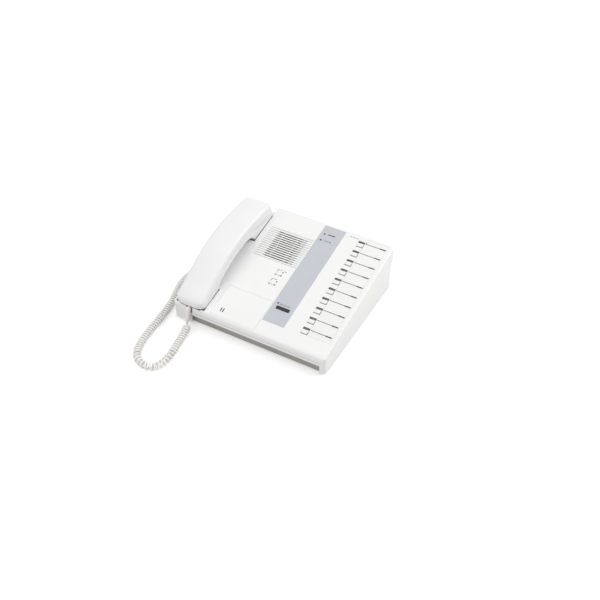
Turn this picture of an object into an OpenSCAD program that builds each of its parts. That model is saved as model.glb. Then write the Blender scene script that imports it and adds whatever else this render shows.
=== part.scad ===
// Desk intercom with a lift-off handset, a curly handset cord, ten station keys and a speaker grille.
// Millimetres, +Z up. The front faces -Y. The origin is on the floor under the middle of the case.
// Sloped parts are drawn in the slope frame: X across, Y up the slope from the front, Z off the face.

/* [Case] */
// Width of the case, side to side
case_w = 246; // [222:1:280]
// Depth of the case, front to back
case_d = 217; // [196:1:250]
// Height of the sloped face where it meets the front
front_h = 30; // [24:1:40]
// Tilt of the sloped face in degrees
slope = 11; // [6:1:18]
// Thickness of the cover walls
wall = 2.5; // [2:0.1:4]
// Radius of the upright corners of the case
corner_r = 6; // [3:0.5:10]
// Radius of the long edges of the sloped face
side_round = 2; // [1:0.5:4]
// Height of the lower edge of the cover's skirt
skirt_z = 2.5; // [1:0.5:6]
// Height of the front lip above the dark base band
lip_z = 16; // [10:0.5:20]
// How far the dark base band stands back from the front
band_set = 5; // [2:0.5:10]
// Width of the pale corner beside each end of the base band
corner_wrap = 8; // [7:0.5:16]
// How far the lower back stands in under the rear ledge
ledge_in = 12; // [4:1:20]
// Height where the rear ledge starts to slope in
ledge_top_z = 57; // [45:1:60]
// Height where the lower back wall starts
ledge_low_z = 42; // [30:1:50]
// Play between the cover and the base pan
case_play = 0.2; // [0.1:0.05:0.5]

/* [Handset] */
// Width of the handset
grip_w = 45; // [38:1:54]
// Distance of the handset's middle from the left side
grip_in = 27.5; // [26:0.5:32]
// Where the mouth end's seated part begins, up the slope
grip_v0 = 4.5; // [3:0.5:10]
// How far the mouth end reaches forward over the rim of its well
grip_over = 4.2; // [3.5:0.1:5]
// Distance of the handset's ear end from the back edge
grip_back = 12.5; // [8:0.5:20]
// Height of the top of the arch over the sloped face
grip_top = 37; // [30:1:44]
// Height of the finger gap under the grip
grip_gap = 15; // [10:1:20]
// How deep the ear end sits in its well
ear_drop = 13.5; // [8:0.5:16]
// How deep the mouth end sits in its well
mouth_drop = 9; // [5:0.5:10]
// Wall of the handset shells
shell_wall = 2.4; // [1.8:0.1:3]
// Gap between the handset and its wells
cradle_gap = 1.2; // [0.6:0.1:2]
// Gap under the handset where it rests
rest_gap = 0.3; // [0.2:0.05:0.6]
// Radius of the handset's corners seen from above
grip_r = 10; // [5:0.5:14]
// Travel of the hook plunger
hook_travel = 4; // [2:0.5:6]

/* [Station keys] */
// Number of station rows
rows = 10; // [4:1:10]
// Position of the first row up the slope
row_front_v = 37; // [32:0.5:42]
// Distance of the last row from the back edge
row_back = 14.5; // [12:0.5:20]
// Distance of the key column from the right side
key_in = 47.6; // [44:0.1:50]
// Width of a station key
key_w = 9; // [7:0.5:12]
// Length of a station key along the slope
key_l = 6; // [5:0.5:8]
// Distance from a lamp window to the middle of its key
key_below = 5.6; // [5:0.1:7]
// How far each key stands over the face
key_rise = 1.2; // [0.5:0.1:3]
// Travel of each key
key_travel = 1.5; // [0.5:0.1:2]
// Gap around each key and lamp
key_gap = 0.3; // [0.2:0.05:0.5]
// Width of a lamp window
lamp_w = 10.4; // [6:0.1:12]
// Length of a lamp window along the slope
lamp_l = 3.6; // [2:0.1:3.8]

/* [Fascia] */
// Distance of the grey strip's left edge from the right side
strip_in = 112; // [110:0.5:116]
// Width of the grey strip
strip_w = 34.5; // [28:0.5:40]
// Lower end of the grey strip up the slope
strip_v = 25; // [15:1:40]
// Distance of the grey strip's upper end from the back edge
strip_back = 5.5; // [4:0.5:20]
// Thickness of the strip and of the front panel
strip_t = 1; // [0.6:0.1:1.4]
// Width of the talk key
talk_w = 20.4; // [14:0.1:26]
// Length of the talk key along the slope
talk_l = 4.8; // [4:0.1:8]
// Position of the talk key up the slope
talk_v = 52.4; // [45:0.1:60]
// Width of a function key
func_w = 8.6; // [6:0.1:12]
// Length of a function key along the slope
func_l = 6.4; // [4:0.1:8]
// Upper end of the front panel up the slope
panel_v = 58.5; // [45:0.5:65]
// Gap around the strip and the front panel
panel_gap = 0.2; // [0.1:0.05:0.4]

/* [Speaker] */
// Number of grille slots
slots = 15; // [9:1:17]
// Pitch of the grille slots
slot_pitch = 4; // [3:0.1:5]
// Width of one grille slot
slot_w = 2; // [1:0.1:2.5]
// Gap between the handset's well and the grille
grille_left = 9.6; // [8:0.1:14]
// Gap between the grille and the grey strip
grille_right = 1.7; // [1:0.1:6]
// Position of the lowest grille slot up the slope
slot_v = 124.6; // [115:0.1:130]
// How far the loudspeaker stands in from each end of the slots
speaker_in = 7.25; // [6.5:0.25:12]

/* [Cord] */
// Thickness of the cord itself
cord_d = 3; // [2.4:0.1:3.2]
// Outer diameter of the curls
curl_d = 11.8; // [8:0.1:16]
// Number of curls
curls = 70; // [40:1:72]
// Height of the cord outlet in the left wall
outlet_z = 14; // [10:0.5:20]
// Distance of the cord outlet from the front
outlet_y = 98; // [80:1:120]

/* [Hidden] */
eps = 0.01;
half_w = case_w / 2;
half_d = case_d / 2;
top_run = case_d / cos(slope);
edge_round = 5;
back_round = 3;
white = [0.93, 0.93, 0.92];
grey_blue = [0.70, 0.73, 0.78];
dark = [0.20, 0.19, 0.18];
black = [0.08, 0.08, 0.09];
steel = [0.70, 0.71, 0.73];
board_green = [0.12, 0.36, 0.20];
cream = [0.90, 0.88, 0.82];
key_flange_t = 1;
key_flange = 1.4;
flange_top = -wall - 0.3;
stem_d = 3;
board_top = -9;
board_t = 1.6;
switch_tip = -6.2;
switch_base = -7.6;
main_z = 12;
main_t = 1.6;
pan_z = 3;
pan_floor = 2.5;
pan_wall = 2;
pan_side_h = 9;
pan_lap = 2;
band_low = 0.6;
pan_x = half_w - wall - case_play;
pan_back = case_d - ledge_in - wall - case_play;
screw_d = 3;
screw_gap = 0.25;
post_d = 8;
post_x = half_w - 12;
post_front = 17;
post_back = pan_back - 10.3;
foot_d = 15;
inlet_x = 35;
inlet_w = 30;
grip_x = grip_in - half_w;
grip_len = top_run - grip_back - grip_v0;
grip_x0 = grip_x - grip_w / 2;
well_l = grip_x0 - cradle_gap;
well_r = grip_x0 + grip_w + cradle_gap;
ear_floor = -ear_drop - rest_gap;
mouth_floor = -mouth_drop - rest_gap;
hook_d = 6;
hook_gap = 0.06;
relief_d = 7.2;
relief_z = 28;
relief_drop = 74;
relief_y0 = grip_v0 * cos(slope) + 4.6;
relief_y1 = -2;
relief_len = 19.5;
notch_w = relief_d + 3;
notch_z = relief_z - (relief_d / 2 / sin(relief_drop) + relief_y1 + 0.5) * tan(relief_drop);
strip_x = half_w - strip_in;
strip_len = top_run - strip_back - strip_v;
slot_x = well_r + grille_left;
slot_len = strip_x - grille_right - slot_x;
speaker_d = slot_len - 2 * speaker_in;
speaker_r = speaker_d / 2;
clamp_r = speaker_r + 3.4;
speaker_x = slot_x + slot_len / 2;
speaker_v = slot_v + slot_pitch * (slots - 1) / 2;
band_x0 = grip_x + 3;
skin = 1.2;
rib_x = speaker_r * 0.42;
rib_w = 1.6;
open_x0 = slot_x + slot_len * 0.2;
open_x1 = slot_x + slot_len * 0.88;
pocket_in = clamp_r * cos(45) - 3.1;
mic_slot = 0.8;
func_x = strip_x - 18.8;
func_v = [106.5, 88.3];
mic_x = well_r + 22.6;
mic_v = 16;
mic_d = 9.7;
lamp_x = strip_x + 6.5;
lamp_v = [top_run - 21.3, top_run - 33.7];
lamp_d = 2.6;
talk_lamp_x = strip_x + 6.5;
talk_lamp_v = talk_v + 7.1;
talk_x = strip_x + 17.9;
key_x = half_w - key_in;
row_top_v = top_run - row_back;
row_pitch = (row_top_v - row_front_v) / (rows - 1);
card_x = key_x + max(5.6, lamp_w / 2 + 0.4);
card_w = half_w - 7 - card_x;
card_v = 27;
card_len = top_run - 6 - card_v;
card_t = 0.6;
panel_x = well_r + 8.4;
main_x0 = well_r + 7.8;
main_x1 = post_x - 9;
main_d = 122;
main_y0 = post_back - main_d;
key_board_x0 = key_x - 23.4;
key_board_x1 = key_x + 26.6;
fascia_board_x1 = strip_x + 38;
panel_v0 = 4;
outlet_d = 9;
outlet_out = 4;

// Side outline of the case as distance from the front and height, moved in by t.
function face_z(y) = front_h + y * tan(slope);
function edge_mid(x, r, t) = [x, face_z(x) - (r + t) / cos(slope)];
function front_r(t) = max(0.5, edge_round - t);
function back_r(t) = max(0.5, back_round - t);
function front_mid(t) = edge_mid(t + front_r(t), front_r(t), t);
function back_mid(t) = edge_mid(case_d - t - back_r(t), back_r(t), t);
function case_side(t, low) = [
    [t, low],
    [case_d - ledge_in - t, low],
    [case_d - ledge_in - t, ledge_low_z + t * 0.3],
    [case_d - t, ledge_top_z + t * 0.3],
    [case_d - t, back_mid(t)[1]],
    back_mid(t) + back_r(t) * [-sin(slope), cos(slope)],
    front_mid(t) + front_r(t) * [-sin(slope), cos(slope)],
    [t, front_mid(t)[1]]
];

// Handset outline in the slope frame, as distance up the slope and height off the face.
ear_run = 62.5;
mouth_run = 40.5;
over_h = 1.6;
grip_upper = concat(
    [[-grip_over, over_h + 4.7], [1 - grip_over, over_h + 9], [4.7 - grip_over, over_h + 12.8], [8.5, 16.8]],
    [for (p = [
        [0.13, 0.57], [0.205, 0.69], [0.295, 0.825], [0.39, 0.935], [0.49, 0.995], [0.59, 1],
        [0.685, 0.955], [0.775, 0.87], [0.865, 0.77], [0.93, 0.69], [0.975, 0.6], [0.995, 0.45], [1, 0.27]
    ]) [p[0] * grip_len, p[1] * grip_top]]
);
ear_at = grip_len - ear_run;
grip_lower = [
    [grip_len, 3.5 - ear_drop], [grip_len - 3, -ear_drop], [ear_at + 6.5, -ear_drop], [ear_at + 2, 3.5 - ear_drop],
    [ear_at + 0.8, 0], [ear_at - 2.5, grip_gap / 2 - 0.5], [ear_at - 10.5, grip_gap - 2.6],
    [ear_at - 23.5, grip_gap], [mouth_run + 51.5, grip_gap], [mouth_run + 27.5, grip_gap - 2.6],
    [mouth_run + 9.5, grip_gap / 2 - 0.5], [mouth_run + 0.6, 0], [mouth_run - 0.1, 3 - mouth_drop],
    [mouth_run - 3, -mouth_drop], [4, -mouth_drop], [0.6, 3 - mouth_drop], [0.6, over_h], [-grip_over, over_h]
];
part_top = grip_gap + 10.5;
grip_part = [
    [-9, 4], [16, 4], [34, 8], [52, 16], [mouth_run + 29.5, part_top - 3.5], [mouth_run + 51.5, part_top],
    [ear_at - 23.5, part_top], [ear_at - 3.5, part_top - 4.5], [ear_at + 14.5, 12], [ear_at + 30.5, 7],
    [grip_len + 9, 7]
];
grip_side = concat(grip_upper, grip_lower);
ear_v0 = grip_v0 + ear_at;
mouth_v1 = grip_v0 + mouth_run;
ear_v = ear_v0 + 26;
mouth_v = mouth_v1 - 21;
hook_v = ear_v + 4;

// Unit normal of the line from a to b, and an outline moved in by t along its normals.
function out_of(a, b) = [b[1] - a[1], a[0] - b[0]] / norm(b - a);
function inset(pts, t) = let (n = len(pts)) [
    for (i = [0 : n - 1])
        let (
            before = pts[(i + n - 1) % n],
            here = pts[i],
            after = pts[(i + 1) % n],
            n1 = out_of(before, here),
            n2 = out_of(here, after)
        )
        here + t * (n1 + n2) / max(0.5, 1 + n1 * n2)
];

// Cord route through chosen points, as one smooth line with its length.
outlet = [-half_w - outlet_out, outlet_y - half_d, outlet_z];
relief_dir = [0, -cos(relief_drop), -sin(relief_drop)];
relief_bend = [grip_x, relief_y1 - half_d, relief_z];
relief_end = relief_bend + relief_len * relief_dir;
cord_end = relief_end + rest_gap * relief_dir;
curl_r = (curl_d - cord_d) / 2;
front_left = [-half_w, -half_d, 0];
route = concat(
    [outlet, outlet + [-cord_d, 0, 0]],
    [for (p = [
        [-19, 93.5, 11], [-27, 75, 6.8], [-27, 56, 6], [-20.5, 31, 6], [-14.6, 6, 6], [-12, -20, 6],
        [-10.4, -45, 6], [-7.6, -66, 6], [-3, -84, 6], [7, -98.5, 6], [23.8, -104.6, 6], [37, -99.2, 6],
        [43.2, -85, 6], [42.4, -66, 6], [39, -46, 6], [36, -30, 6], [32.6, -17.5, 6.3], [29, -10.5, 5]
    ]) front_left + p],
    [cord_end + cord_d * relief_dir, cord_end]
);
route_steps = 8;
lead_in = 13;
lead_out = 7;
ramp_in = 7;
ramp_out = 7;
bend_from = 205;
bend_to = 285;
bend_curls = 13;

function spline(a, b, c, d, t) = 0.5 * (2 * b + (c - a) * t + (2 * a - 5 * b + 4 * c - d) * t * t
    + (3 * b - a - 3 * c + d) * t * t * t);
function at(i) = route[max(0, min(len(route) - 1, i))];
line = [
    for (i = [0 : len(route) - 2], k = [0 : route_steps - 1])
        spline(at(i - 1), at(i), at(i + 1), at(i + 2), k / route_steps),
    cord_end
];
steps = [for (i = [1 : len(line) - 1]) norm(line[i] - line[i - 1])];
function sums(v, i = 0, total = 0, out = []) = i == len(v)
    ? concat(out, [total])
    : sums(v, i + 1, total + v[i], concat(out, [total]));
lengths = sums(steps);
cord_run = lengths[len(lengths) - 1];
line_x = [for (i = [0 : len(line) - 1]) [lengths[i], line[i][0]]];
line_y = [for (i = [0 : len(line) - 1]) [lengths[i], line[i][1]]];
line_z = [for (i = [0 : len(line) - 1]) [lengths[i], line[i][2]]];
function on_line(s) = [lookup(s, line_x), lookup(s, line_y), lookup(s, line_z)];
function unit(v) = v / norm(v);
function line_dir(s) = unit(on_line(min(cord_run, s + 1.5)) - on_line(max(0, s - 1.5)));
plain_curls = curls - bend_curls;
first_run = bend_from - lead_in;
last_run = cord_run - lead_out - bend_to;
first_curls = plain_curls * first_run / (first_run + last_run);
curl_table = [
    [0, lead_in], [first_curls, bend_from], [first_curls + bend_curls, bend_to], [curls, cord_run - lead_out]
];
curl_sides = 8;
tube_sides = 6;
function ease(t) = let (u = max(0, min(1, t))) u * u * (3 - 2 * u);
function swell(s) = curl_r * ease((s - lead_in) / ramp_in) * ease((cord_run - lead_out - s) / ramp_out);
function across(s) = unit(cross([0, 0, 1], line_dir(s)));
function outward(s, a) = let (n = across(s), b = cross(line_dir(s), n)) cos(a) * n + sin(a) * b;
function curl_point(s, a) = on_line(s) + swell(s) * outward(s, a);
stations = concat(
    [[0, 0], [cord_d, 0], [lead_in * 0.6, 0]],
    [for (k = [0 : curls * curl_sides]) [lookup(k / curl_sides, curl_table), k * 360 / curl_sides]],
    [[cord_run - lead_out * 0.5, curls * 360], [cord_run - cord_d * 0.5, curls * 360], [cord_run, curls * 360]]
);
centres = [for (p = stations) curl_point(p[0], p[1])];
last = len(centres) - 1;
function heading(i) = i == 0 ? [-1, 0, 0]
    : i == last ? -relief_dir
    : unit(centres[i + 1] - centres[i - 1]);
rings = [
    for (i = [0 : last])
        let (
            h = heading(i),
            o = outward(stations[i][0], stations[i][1]),
            u = unit(o - (o * h) * h),
            w = cross(h, u)
        )
        for (k = [0 : tube_sides - 1])
            centres[i] + cord_d / 2 * (cos(k * 360 / tube_sides) * u + sin(k * 360 / tube_sides) * w)
];
wire_at = sums([for (i = [1 : last]) norm(centres[i] - centres[i - 1])]);
wire_run = wire_at[last];
least_gap = min([
    for (i = [0 : last - 3], j = [i + 3 : min(last, i + 20)])
        if (wire_at[j] - wire_at[i] > 3 * cord_d) norm(centres[i] - centres[j]) - cord_d
]);
lowest = min([for (p = rings) p[2]]);
echo(cord_run = cord_run, wire_run = wire_run, least_gap = least_gap, lowest = lowest, relief_end = relief_end);

// ---- helpers ----

module on_slope() {
    translate([0, -half_d, front_h]) rotate([slope, 0, 0]) children();
}

module plan_block(w, y0, y1, r, z0, z1) {
    translate([0, -half_d, z0]) linear_extrude(z1 - z0) {
        translate([-w / 2, y0 + r]) square([w, y1 - y0 - 2 * r]);
        translate([-w / 2 + r, y0]) square([w - 2 * r, y1 - y0]);
        for (x = [-w / 2 + r, w / 2 - r], y = [y0 + r, y1 - r]) translate([x, y]) circle(r = r, $fn = 48);
    }
}

module case_form(t, low) {
    intersection() {
        translate([-half_w + t, -half_d, 0]) rotate([90, 0, 90]) linear_extrude(case_w - 2 * t) {
            polygon(case_side(t, low));
            translate(front_mid(t)) circle(r = front_r(t), $fn = 48);
            translate(back_mid(t)) circle(r = back_r(t), $fn = 48);
        }
        plan_block(case_w - 2 * t, t, case_d - t, max(1, corner_r - t), low, 200);
        across_form(half_w - t, max(0.5, side_round - t), -t);
    }
}

// Long block in the slope frame up to height h, with its two upper edges rounded.
module across_form(a, r, h) {
    on_slope() translate([0, case_d + 40, 0]) rotate([90, 0, 0]) linear_extrude(case_d + 120) {
        translate([-a, h - r - 140]) square([2 * a, 140]);
        translate([r - a, h - r - 1]) square([2 * (a - r), r + 1]);
        for (x = [r - a, a - r]) translate([x, h - r]) circle(r = r, $fn = 48);
    }
}

// Box in the slope frame from corner to corner.
module block(x0, x1, v0, v1, h0, h1) {
    translate([x0, v0, h0]) cube([x1 - x0, v1 - v0, h1 - h0]);
}

module rod(x, v, h0, h1, d) {
    translate([x, v, h0]) cylinder(d = d, h = h1 - h0, $fn = 32);
}

module post(x, y, z0, z1, d) {
    translate([x, y - half_d, z0]) cylinder(d = d, h = z1 - z0, $fn = 32);
}

function row_v(i) = row_top_v - row_pitch * i;
function key_v(i) = row_v(i) - key_below;
board_screw_at = [
    [key_board_x0 + 4, row_front_v + 3], [key_board_x1 - 4, row_front_v - 3],
    [key_board_x0 + 4, row_top_v - 0.5], [key_board_x1 - 4, row_top_v - 10.5],
    [fascia_board_x1 - 5, talk_v + 70], [strip_x + 2, talk_v + 14]
];
main_screw_at = [for (x = [main_x0 + 6, main_x1 - 6], y = [main_y0 + 6, main_y0 + main_d - 6]) [x, y]];
case_post_at = [[-post_x, post_front], [post_x, post_front], [-post_x, post_back], [post_x, post_back]];
foot_at = [for (x = [14 - post_x, post_x - 14], y = [post_front + 8, post_back - 8]) [x, y]];
clamp_turn = [45, 135, 225, 315];

// ---- case ----

module well_lining() {
    on_slope() {
        block(well_l - wall, well_r + wall, ear_v0 - cradle_gap - wall, top_run + 9, ear_floor - wall, 0);
        block(well_l - wall, well_r + wall, 2, mouth_v1 + cradle_gap + wall, mouth_floor - wall, 0);
    }
}

module well_rooms() {
    on_slope() {
        block(well_l, well_r, ear_v0 - cradle_gap, top_run + 9, ear_floor, 20);
        block(well_l, well_r, grip_v0 - cradle_gap, mouth_v1 + cradle_gap, mouth_floor, 20);
    }
}

module cover_posts() {
    for (p = case_post_at) post(p[0], p[1], pan_z + pan_floor + 0.5, face_z(p[1]) - 1, post_d);
    on_slope() {
        for (p = board_screw_at) rod(p[0], p[1], board_top, -wall / 2, 6);
        for (a = clamp_turn) translate([speaker_x, speaker_v, 0]) rotate([0, 0, a])
            rod(clamp_r, 0, -5, -wall / 2, 5);
        for (x = [speaker_x - rib_x, speaker_x + rib_x])
            block(x - rib_w / 2, x + rib_w / 2, slot_v - 3, slot_v + slot_pitch * (slots - 1) + 3, -4.4,
                -skin / 2);
    }
}

module face_openings() {
    on_slope() {
        for (i = [0 : slots - 1])
            block(slot_x, slot_x + slot_len, slot_v + i * slot_pitch - slot_w / 2,
                slot_v + i * slot_pitch + slot_w / 2, -skin, 1);
        for (i = [1 : slots - 2])
            block(open_x0, open_x1, slot_v + i * slot_pitch - slot_w / 2,
                slot_v + i * slot_pitch + slot_w / 2, -3, -skin / 2);
        for (k = [0 : 2])
            block(speaker_x + [-pocket_in, -rib_x + rib_w / 2, rib_x + rib_w / 2][k],
                speaker_x + [-rib_x - rib_w / 2, rib_x - rib_w / 2, pocket_in][k],
                slot_v + slot_pitch / 2, slot_v + slot_pitch * (slots - 1.5), -wall - 1, -skin);
        for (i = [0 : rows - 1]) {
            hole(key_x, key_v(i), key_w, key_l, key_gap);
            hole(key_x, row_v(i), lamp_w, lamp_l, panel_gap / 2);
        }
        for (v = func_v) hole(func_x, v, func_w, func_l, key_gap);
        hole(talk_x, talk_v, talk_w, talk_l, key_gap);
        for (v = lamp_v) rod(lamp_x, v, -6, 1, lamp_d + 2 * hook_gap);
        rod(talk_lamp_x, talk_lamp_v, -6, 1, lamp_d + 2 * hook_gap);
        for (x = [mic_x - 1.8, mic_x + 1.8])
            block(x - mic_slot, x + mic_slot, mic_v - 3.3, mic_v + 3.3, -6, 1);
        block(strip_x, strip_x + strip_w, strip_v, strip_v + strip_len, -strip_t, 1);
        block(panel_x, strip_x - 1.5, panel_v0, panel_v, -strip_t, 1);
        block(card_x, card_x + card_w, card_v, card_v + card_len, -card_t, 1);
        rod(grip_x, hook_v, ear_floor - wall - 1, ear_floor + 1, hook_d + 2 * hook_gap);
    }
}

module hole(x, v, w, l, gap) {
    block(x - w / 2 - gap, x + w / 2 + gap, v - l / 2 - gap, v + l / 2 + gap, -6, 1);
}

module top_cover() color(white) {
    difference() {
        case_form(0, skirt_z);
        difference() {
            case_form(wall, -1);
            well_lining();
            cover_posts();
        }
        well_rooms();
        face_openings();
        translate([band_x0, -half_d - 1, -1]) cube([half_w - corner_wrap - band_x0, 12, lip_z + 1]);
        translate([grip_x - notch_w / 2, -half_d - 1, notch_z]) cube([notch_w, 14, 20]);
        translate([inlet_x, half_d - ledge_in - wall - 1, -1]) cube([inlet_w, wall + 2, 15]);
        translate([-half_w - 1, outlet_y - half_d, outlet_z]) rotate([0, 90, 0])
            cylinder(d = outlet_d - 2, h = wall + 2, $fn = 32);
        for (p = case_post_at) post(p[0], p[1], 0, 18, screw_d - 0.4);
        on_slope() for (p = board_screw_at) rod(p[0], p[1], board_top - 1, -4, screw_d - 0.8);
    }
}

module base_pan() color(dark) {
    difference() {
        union() {
            translate([-pan_x, band_set - half_d, pan_z])
                cube([2 * pan_x, pan_back - band_set, pan_side_h - pan_z]);
            translate([-pan_x, band_set - half_d, band_low]) cube([2 * pan_x, 3, lip_z + pan_lap - band_low]);
        }
        translate([-pan_x + pan_wall, band_set + pan_wall - half_d, pan_z + pan_floor])
            cube([2 * (pan_x - pan_wall), pan_back - band_set - 2 * pan_wall, 40]);
        translate([inlet_x, pan_back - pan_wall - half_d - 1, pan_z + pan_floor])
            cube([inlet_w, pan_wall + 2, 20]);
        for (p = case_post_at) {
            post(p[0], p[1], 0, 8, screw_d + 2 * screw_gap);
            post(p[0], p[1], pan_z - 1, pan_z + 1.2, 6.4);
        }
        for (i = [-10 : 10])
            translate([i * pan_x / 13.4, pan_back * 0.3 - half_d, 0]) cube([3, pan_back * 0.4, 12]);
    }
    for (p = main_screw_at) difference() {
        post(p[0], p[1], pan_z + pan_floor - eps, main_z, 7);
        post(p[0], p[1], main_z - 5, main_z + 1, screw_d - 0.4);
    }
}

module rubber_feet() color(black) {
    for (p = foot_at) post(p[0], p[1], 0, pan_z, foot_d);
}

module base_screws() color(steel) {
    for (p = case_post_at) {
        post(p[0], p[1], pan_z - 0.6, pan_z + 1.1, 5.8);
        post(p[0], p[1], pan_z + 1, 17, screw_d - 0.4);
    }
}

module front_panel() color(white) {
    on_slope() difference() {
        block(panel_x + panel_gap, strip_x - 1.5 - panel_gap, panel_v0 + panel_gap, panel_v - panel_gap,
            -strip_t, 0);
        for (x = [mic_x - 1.8, mic_x + 1.8])
            block(x - mic_slot, x + mic_slot, mic_v - 3.3, mic_v + 3.3, -6, 1);
    }
}

module fascia_strip() color(grey_blue) {
    on_slope() difference() {
        block(strip_x + panel_gap, strip_x + strip_w - panel_gap, strip_v + panel_gap,
            strip_v + strip_len - panel_gap, -strip_t, 0);
        hole(talk_x, talk_v, talk_w, talk_l, key_gap);
        for (v = lamp_v) rod(lamp_x, v, -6, 1, lamp_d + 2 * hook_gap);
        rod(talk_lamp_x, talk_lamp_v, -6, 1, lamp_d + 2 * hook_gap);
    }
}

// ---- lamps and keys ----

module lamp(x, v) {
    rod(x, v, board_top + 1, 0.5, lamp_d);
    rod(x, v, board_top, board_top + 1.2, lamp_d + 1);
}

module status_lamps() color([0.75, 0.25, 0.18]) {
    on_slope() for (v = lamp_v) lamp(lamp_x, v);
}

module talk_lamp() color([0.25, 0.55, 0.25]) {
    on_slope() lamp(talk_lamp_x, talk_lamp_v);
}

// Key cap with a flange that stops it under the cover and a stem over its switch.
module key_cap(x, v, w, l, rise) {
    on_slope() {
        block(x - w / 2, x + w / 2, v - l / 2, v + l / 2, flange_top - eps, rise);
        block(x - w / 2 - key_flange, x + w / 2 + key_flange, v - l / 2 - key_flange / 2,
            v + l / 2 + key_flange / 2, flange_top - key_flange_t, flange_top);
        rod(x, v, switch_tip + key_travel + 0.1, flange_top - key_flange_t + eps, stem_d);
    }
}

module station_key(i) color(white) key_cap(key_x, key_v(i), key_w, key_l, key_rise);

module talk_key() color(black) key_cap(talk_x, talk_v, talk_w, talk_l, key_rise);

module function_key(i) color(white) key_cap(func_x, func_v[i], func_w, func_l, key_rise);

module lamp_windows() color(black) {
    on_slope() for (i = [0 : rows - 1]) {
        block(key_x - lamp_w / 2, key_x + lamp_w / 2, row_v(i) - lamp_l / 2, row_v(i) + lamp_l / 2, -4, 0.2);
        rod(key_x, row_v(i), board_top, -4 + eps, 2.6);
    }
}

module name_card() color(white) {
    on_slope() block(card_x + panel_gap, card_x + card_w - panel_gap, card_v + panel_gap,
        card_v + card_len - panel_gap, -card_t, -0.1);
}

module name_rules() color(black) {
    on_slope() for (i = [0 : rows - 1]) {
        block(card_x + 1, card_x + card_w - 1.5, row_v(i) - 0.4, row_v(i) + 0.4, -0.1, 0.1);
        block(card_x + card_w - 11, card_x + card_w - 1.5, row_v(i) - 0.75, row_v(i) + 0.75, -0.1, 0.3);
    }
}

// ---- electronics ----

module speaker_frame() color(steel) {
    on_slope() translate([speaker_x, speaker_v, 0]) rotate_extrude($fn = 64) polygon([
        [speaker_r - 5, -4.6], [speaker_r, -4.6], [speaker_r, -6], [speaker_r - 4, -6],
        [speaker_r * 0.49, -16], [speaker_r * 0.49, -19], [speaker_r * 0.28, -19], [speaker_r * 0.28, -17.5],
        [speaker_r * 0.49 - 1.4, -17.5], [speaker_r * 0.49 - 1.4, -15.4], [speaker_r - 5, -5.8]
    ]);
}

module speaker_cone() color(dark) {
    on_slope() translate([speaker_x, speaker_v, 0]) rotate_extrude($fn = 64) polygon([
        [speaker_r - 5.05, -5.2], [speaker_r - 7, -4.6], [speaker_r * 0.316, -12.4],
        [speaker_r * 0.175, -10.6], [0, -10], [0, -10.8], [speaker_r * 0.175, -11.4],
        [speaker_r * 0.28, -13.4], [speaker_r * 0.3, -13.4], [speaker_r - 7, -5.6], [speaker_r - 5.05, -5.8]
    ]);
}

module speaker_magnet() color(steel) {
    on_slope() translate([speaker_x, speaker_v, 0]) {
        rod(0, 0, -28, -19, speaker_d * 0.56);
    }
}

module speaker_clamps() color(steel) {
    on_slope() for (a = clamp_turn) translate([speaker_x, speaker_v, 0]) rotate([0, 0, a]) {
        translate([speaker_r - 3, -3, -7]) cube([9, 6, 1]);
        translate([speaker_r + 0.4, -3, -6 - eps]) cube([5.6, 6, 1 + eps]);
        rod(clamp_r, 0, -8.6, -7 + eps, 4.6);
    }
}

module main_board() color(board_green) {
    difference() {
        translate([main_x0, main_y0 - half_d, main_z]) cube([main_x1 - main_x0, main_d, main_t]);
        for (p = main_screw_at) post(p[0], p[1], 0, 30, screw_d + 2 * screw_gap);
    }
    for (p = [[44, 20, 24, 10, 3], [84, 20, 12, 12, 2.4], [116, 26, 16, 8, 6], [18, 34, 10, 10, 9]])
        translate([main_x0 + p[0], main_y0 + p[1] - half_d, main_z + main_t - eps]) cube([p[2], p[3], p[4]]);
    for (p = [[36, 50, 12], [50, 50, 12], [70, 54, 9], [88, 54, 9]])
        post(main_x0 + p[0], main_y0 + p[1], main_z + main_t - eps, main_z + main_t + p[2], 7);
}

module main_board_screws() color(steel) {
    for (p = main_screw_at) {
        post(p[0], p[1], main_z + main_t, main_z + main_t + 1.8, 5.6);
        post(p[0], p[1], main_z - 4.5, main_z + main_t + eps, screw_d - 0.4);
    }
}

module key_board() color(board_green) {
    on_slope() difference() {
        block(key_board_x0, key_board_x1, row_front_v - 7, row_top_v + 5.5, board_top - board_t, board_top);
        for (p = board_screw_at) rod(p[0], p[1], -20, 0, screw_d + 2 * screw_gap);
    }
}

module fascia_board() color(board_green) {
    on_slope() difference() {
        union() {
            block(strip_x - 2, fascia_board_x1, talk_v - 8.4, top_run - 15, board_top - board_t, board_top);
            block(func_x - 14.2, strip_x - 2 + eps, func_v[1] - 8.3, func_v[0] + 9.5, board_top - board_t,
                board_top);
        }
        for (p = board_screw_at) rod(p[0], p[1], -20, 0, screw_d + 2 * screw_gap);
    }
}

module key_board_screws() color(steel) {
    on_slope() for (p = board_screw_at) {
        rod(p[0], p[1], board_top - board_t - 1.6, board_top - board_t, 5.4);
        rod(p[0], p[1], board_top - board_t - eps, -4.5, screw_d - 0.8);
    }
}

module switch(x, v) {
    block(x - 3, x + 3, v - 3, v + 3, board_top, switch_base);
    rod(x, v, switch_base - eps, switch_tip, 3.2);
}

module key_switches() color(black) {
    on_slope() for (i = [0 : rows - 1]) switch(key_x, key_v(i));
}

module fascia_switches() color(black) {
    on_slope() {
        for (v = func_v) switch(func_x, v);
        switch(talk_x, talk_v);
    }
}

module desk_microphone() color(black) {
    on_slope() {
        rod(mic_x, mic_v, -8.5, -wall, mic_d);
    }
}

module line_transformer() color([0.55, 0.45, 0.25]) {
    translate([main_x1 - 36, main_y0 + 70 - half_d, main_z + main_t]) {
        cube([30, 26, 3]);
        translate([2, 4, 3 - eps]) cube([26, 18, 17]);
        translate([7, 0.5, 5]) cube([16, 25, 13]);
    }
}

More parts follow.
